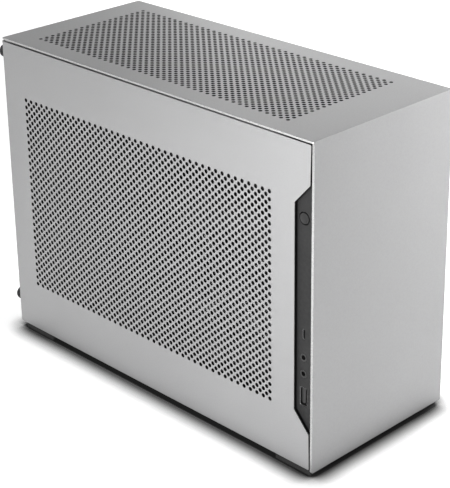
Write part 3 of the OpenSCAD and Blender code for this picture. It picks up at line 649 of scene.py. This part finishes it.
def make_port_strip():
    a, b = low("port_strip"), high("port_strip")
    y, z, jacks = along_strip()
    holes = [circle((y, z["power_button"]), BUTTON_HOLE_R, 40)]
    holes += [circle((y, v), AUDIO_HOLE_R, 32) for v in jacks]
    holes.append(about((y, z["usb_c_port"]), (3.5, 9.2), 1.74, 8))
    holes.append(about((y, z["usb_a_port"]), (6.1, 13.4), 0.7, 4))
    shape = Shape()
    outline = box_outline((a.y, a.z), (b.y, b.z), 0.5)
    slab(shape, outline, holes, strip_place(a.x), 2.0, 0.25, 0.2, edge=0)
    for wall_y in (a.y + WALL_FRONT, b.y - WALL_REAR):
        wall = box_outline((wall_y, a.z + 0.3), (wall_y + WALL_T, b.z - 0.3))
        slab(shape, wall, [], strip_place(a.x + 1.9), b.x - a.x - 1.9, 0.0, edge=0)
    shape.build(
        "port_strip_cover", "chassis", [FINISH["port_strip_plastic"]], ["port_strip"],
        "port_strip_plastic",
    )


def about(centre, size, radius, steps=5):
    (u, v), (w, h) = centre, size
    return box_outline((u - w / 2, v - h / 2), (u + w / 2, v + h / 2), radius, steps)


def turned(shape, profile, put, number=0, steps=48, ends=(True, True)):
    """A profile of (radius, depth) pairs turned round an axis; put(u, v, depth) places it."""
    rings = [[put(u, v, d) for u, v in circle((0, 0), r, steps)] for r, d in profile]
    for one, other in zip(rings, rings[1:]):
        shape.ring(one, other, number)
    for end, ring in zip(ends, (rings[0], rings[-1])):
        if end:
            shape.add(ring, [tuple(range(steps))], number)


def make_power_button():
    """A dished cap with a rounded rim, its collar and its stem."""
    a, b = low("power_button"), high("power_button")
    y, z, _ = along_strip()
    put = lambda u, v, d: (a.x + d, y + u, z["power_button"] + v)
    profile = [
        (0.3, 0.42), (1.5, 0.38), (2.6, 0.24), (3.3, 0.06), (3.55, 0.0), (3.78, 0.05), (3.9, 0.17),
        (3.95, 0.35), (3.95, 2.4), (4.75, 2.45), (4.75, 3.4), (1.5, 3.45), (1.5, b.x - a.x),
    ]
    shape = Shape()
    turned(shape, profile, put)
    shape.build(
        "power_button_cap", "button", [FINISH["button_plastic"]], ["power_button"], "button_plastic"
    )


def make_usb_ports():
    y, z, _ = along_strip()
    finishes = [FINISH[k] for k in ("connector_metal", "connector_plastic", "brass")]
    for node, size, wall, r in (
        ("usb_c_port", (3.2, 8.9), 0.28, 1.59), ("usb_a_port", (5.7, 13.0), 0.38, 0.55)
    ):
        a, b = low(node), high(node)
        deep, middle = b.x - a.x, z[node]
        shape = Shape()
        inner = about((y, middle), (size[0] - 2 * wall, size[1] - 2 * wall), r - wall + 0.1, 6)
        slab(
            shape, about((y, middle), size, r, 6), [inner], strip_place(a.x), deep, 0.08, 0.08,
            edge=0,
        )
        lining = grown(inner, -0.12)
        slab(shape, grown(inner, 0.05), [lining], strip_place(a.x + 0.25), deep - 3.5, 0.0,
             face=1, edge=1)
        slab(shape, inner, [], strip_place(b.x - 3), 2.5, 0.0, face=1, edge=1)
        if node == "usb_c_port":
            slab(shape, about((y, middle), (0.7, 6.7), 0.3), [], strip_place(a.x + 2.6), 6.5, 0.1,
                 face=1, edge=1)
        else:
            tongue = about((y + 1.15, middle), (1.8, 10.8), 0.2)
            slab(shape, tongue, [], strip_place(a.x + 1.6), 7, 0.2, face=1, edge=1)
            for k in (-3.5, -1.0, 1.0, 3.5):
                pad = about((y + 0.22, middle + k), (0.1, 1.1), 0.02)
                slab(shape, pad, [], strip_place(a.x + 3.2), 5, 0.0, face=2, edge=2)
        shape.build(node + "_socket", "chassis", finishes, [node], "connector_metal")


# ---------------------------------------------------------------- screws, feet, fans


def make_thumb_screw(side, level):
    """A knurled head with a domed end and a cross recess, on a plain shank."""
    node = f"thumb_screw_{side}_{level}"
    a, b = low(node), high(node)
    x, z = (a.x + b.x) / 2, (a.z + b.z) / 2
    put = lambda u, v, d: (x + u, b.y - d, z + v)
    shape = Shape()
    n = 192
    rings = []
    for r, teeth, d in (
        (3.6, 0, 0.0), (4.3, 0, 0.12), (4.85, 0, 0.5), (5.2, 0.2, 1.1), (5.4, 1, 1.7),
        (5.4, 1, 5.6), (5.1, 0.3, 6.2), (4.7, 0, 6.6), (4.7, 0, 7.0), (1.5, 0, 7.0),
        (1.5, 0, b.y - a.y),
    ):
        ring = []
        for k in range(n):
            turn, notch = 2 * math.pi * k / n, 0.38 * teeth * (k % 4 > 1)
            ring.append(put((r - notch) * math.cos(turn), (r - notch) * math.sin(turn), d))
        rings.append(ring)
    for one, other in zip(rings, rings[1:]):
        shape.ring(one, other)
    shape.add(rings[-1], [tuple(range(n))])
    w, l = 0.55, 2.1
    cross = [(w, w), (w, l), (-w, l), (-w, w), (-l, w), (-l, -w), (-w, -w), (-w, -l), (w, -l),
             (w, -w), (l, -w), (l, w)]
    points, faces = fill([circle((0, 0), 3.6, n), cross])
    shape.add([put(u, v, 0) for u, v in points], faces)
    tip = [(u * 0.6, v * 0.6) for u, v in cross]
    shape.ring([put(u, v, 0) for u, v in cross], [put(u, v, 1.7) for u, v in tip])
    points, faces = fill([tip])
    shape.add([put(u, v, 1.7) for u, v in points], faces)
    shape.build(
        f"thumb_screw_{side}_{level}_head", f"screw_{side}_{level}", [FINISH["black_screw"]],
        [node], "black_screw", 40,
    )


def make_foot(place):
    """A rubber pad with a screw sunk in it."""
    node = "foot_" + place
    a, b = low(node), high(node)
    x, y = math.copysign(FOOT_SCREW_X, a.x), (a.y + b.y) / 2
    put = lambda u, v, d: (x + u, y + v, d)
    shape = Shape()
    outline = about((math.copysign(FOOT_SHIFT, a.x), 0), (FOOT_W, b.y - a.y), 2.0, 6)
    slab(shape, outline, [circle((0, 0), 3.0, 32)], put, b.z, 0.5, 0.3, edge=0)
    head = [(0.6, 2.9), (1.3, 2.4), (2.0, 2.15), (2.6, 2.3), (2.8, 2.7), (2.8, b.z)]
    turned(shape, head, put, 1, 32)
    shape.build(
        node + "_pad", "chassis", [FINISH["foot_rubber"], FINISH["black_screw"]], [node],
        "foot_rubber",
    )


def blade_point(s, u, hub_r, tip_r, h, start):
    """A place on a fan blade: s runs from the hub to the tip, and u from the leading edge back."""
    r = hub_r - 0.6 + (tip_r - hub_r + 0.6) * s
    width = 0.62 - 0.16 * s
    turn = start + 0.34 * s * s + (u - 0.5) * width
    rise = h * (0.44 - 0.86 * u) * (1 - 0.22 * s) + h * 0.12 * math.sin(math.pi * u)
    return r * math.cos(turn), r * math.sin(turn), h / 2 + rise


def make_rotor(node, body, axis, hub_r, tip_r, blades):
    """A hub with a rounded rim, and twisted blades with curved edges."""
    a, b = low(node), high(node)
    middle = (a + b) / 2
    h = b[axis] - a[axis]
    if axis == 2:
        put = lambda u, v, d: (middle.x + u, middle.y + v, a.z + d)
    else:
        put = lambda u, v, d: (a.x + d, middle.y + u, middle.z + v)
    shape = Shape()
    hub = [(hub_r * 0.3, h * 0.985), (hub_r * 0.8, h), (hub_r - 0.9, h * 0.985),
           (hub_r - 0.2, h * 0.95), (hub_r, h * 0.88), (hub_r, h * 0.06), (hub_r - 0.5, 0)]
    turned(shape, hub, put, 0, 48)
    rows, columns = 9, 8
    for k in range(blades):
        start = 2 * math.pi * k / blades
        skins = []
        for lift in (0.55, -0.55):
            skin = []
            for i in range(rows):
                for j in range(columns):
                    s, u = i / (rows - 1), j / (columns - 1)
                    x, y, z = blade_point(s, u, hub_r, tip_r, h, start)
                    thin = 0.25 + 0.75 * math.sin(math.pi * min(max(u, 0.08), 0.92))
                    skin.append(put(x, y, min(max(z + lift * thin, 0.1), h - 0.1)))
            skins.append(skin)
        patches = [
            (i * columns + j, (i + 1) * columns + j, (i + 1) * columns + j + 1, i * columns + j + 1)
            for i in range(rows - 1) for j in range(columns - 1)
        ]
        for skin in skins:
            shape.add(skin, patches)
        edge = [(0, j) for j in range(columns)] + [(i, columns - 1) for i in range(1, rows)]
        edge += [(rows - 1, j) for j in range(columns - 2, -1, -1)]
        edge += [(i, 0) for i in range(rows - 2, 0, -1)]
        shape.ring(*[[skin[i * columns + j] for i, j in edge] for skin in skins])
    shape.build(
        node + "_blades", body, [FINISH["rotor_plastic"]], [node], "rotor_plastic", 50
    )


# ---------------------------------------------------------------- stage


def make_camera():
    """Long lens, from the front left and above, with the picture shifted a little."""
    az, el, roll = (math.radians(a) for a in (-44.114, 22.414, -0.842))
    right = Vector((math.cos(az), math.sin(az), 0))
    back = Vector((math.sin(az) * math.cos(el), -math.cos(az) * math.cos(el), math.sin(el)))
    up = back.cross(right)
    across = right * math.cos(roll) + up * math.sin(roll)
    upward = up * math.cos(roll) - right * math.sin(roll)
    target = Vector((0, -4.25, 127.0))
    place = target + across * 5.603 + upward * 26.749 + back * 1176.355
    data = bpy.data.cameras.new("camera")
    data.lens = 1553.49 / 488 * 36
    data.sensor_width = 36
    data.shift_y = -0.1311
    data.clip_start, data.clip_end = 0.05, 100
    camera = bpy.data.objects.new("camera", data)
    turn = Matrix((across, upward, back)).transposed()
    camera.matrix_world = Matrix.Translation(place * MM) @ turn.to_4x4()
    bpy.context.scene.collection.objects.link(camera)
    bpy.context.scene.camera = camera


def make_floor():
    f = Finish("studio_floor", (0.95, 0.95, 0.95), 0.9)
    f.vary(f.noise(30, 2), 0.005)
    # Painted contact shadow: the floor darkens within 18 mm of the tower, and the glow takes the darkened colour too.
    f.paint_contact_shadow(0.018, 1.3)
    f.glow(0.34)
    mesh = bpy.data.meshes.new("studio_floor")
    mesh.from_pydata([(-9, -9, 0), (9, -9, 0), (9, 9, 0), (-9, 9, 0)], [], [(0, 1, 2, 3)])
    mesh.materials.append(f.material)
    floor = bpy.data.objects.new("studio_floor", mesh)
    bpy.context.scene.collection.objects.link(floor)
    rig.stage(floor)


def make_world():
    """White round the horizon, and nearly dark overhead."""
    world = bpy.data.worlds.new("studio")
    world.use_nodes = True
    tree = world.node_tree
    way = tree.nodes.new("ShaderNodeTexCoord")
    parts = tree.nodes.new("ShaderNodeSeparateXYZ")
    fade = tree.nodes.new("ShaderNodeMapRange")
    tree.links.new(way.outputs["Generated"], parts.inputs["Vector"])
    tree.links.new(parts.outputs["Z"], fade.inputs["Value"])
    tree.links.new(fade.outputs["Result"], tree.nodes["Background"].inputs["Color"])
    for key, value in (("From Min", 0.2), ("From Max", 0.45), ("To Min", 1.0), ("To Max", 0.05)):
        fade.inputs[key].default_value = value
    bpy.context.scene.world = world
    bpy.context.scene.view_settings.view_transform = "Standard"


def make_light(name, azimuth, elevation, distance, size, power):
    a, e = math.radians(azimuth), math.radians(elevation)
    way = Vector((math.sin(a) * math.cos(e), -math.cos(a) * math.cos(e), math.sin(e)))
    data = bpy.data.lights.new(name, "AREA")
    data.shape = "SQUARE"
    data.size = size
    data.energy = power
    lamp = bpy.data.objects.new(name, data)
    lamp.location = way * distance + Vector((0, 0, 0.12))
    lamp.rotation_mode = "QUATERNION"
    lamp.rotation_quaternion = way.to_track_quat("Z", "Y")
    bpy.context.scene.collection.objects.link(lamp)


def make_lights():
    """Softboxes round the tower: azimuth from the front, elevation, distance, size and watts."""
    make_light("left_softbox", -84, 10, 1.3, 0.8, 6.6)
    make_light("front_left_softbox", -74, 12, 0.8, 0.5, 6.8)
    make_light("front_right_softbox", 78, 6, 0.72, 0.5, 9.2)
    make_light("right_softbox", 90, 12, 1.3, 0.8, 5.0)
    make_light("rear_right_softbox", 120, 12, 1.3, 0.8, 5.0)
    make_light("rear_softbox", 150, 12, 1.3, 0.8, 1.5)
    make_light("rear_left_softbox", -150, 12, 1.3, 0.8, 0.6)


make_camera()
make_floor()
make_world()
make_lights()
dress_cad_nodes()
make_front_panel()
make_top_cover()
make_side_cover(-1, "left_cover_sheet", "left_cover", "left_cover_assembly", True)
make_side_cover(1, "right_cover_sheet", "right_cover", "right_cover_assembly", False)
make_port_strip()
make_power_button()
make_usb_ports()
for side in ("left", "right"):
    for level in ("upper", "lower"):
        make_thumb_screw(side, level)
    for end in ("front", "rear"):
        make_foot(f"{end}_{side}")
for end in ("front", "rear"):
    make_rotor(f"fan_rotor_{end}", f"radiator_fan_{end}", 2, 20, 56, 9)
    make_rotor(f"graphics_rotor_{end}", f"graphics_fan_{end}", 0, 17, 46, 11)
make_rotor("supply_rotor", "supply_fan", 0, 15, 41, 9)

with open("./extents.json", "w") as sizes:
    for label, (a, b) in (("cad", (CAD_LOW, CAD_HIGH)), ("visual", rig.bounds())):
        print(label, [round(v, 5) for v in a], [round(v, 5) for v in b], file=sizes)
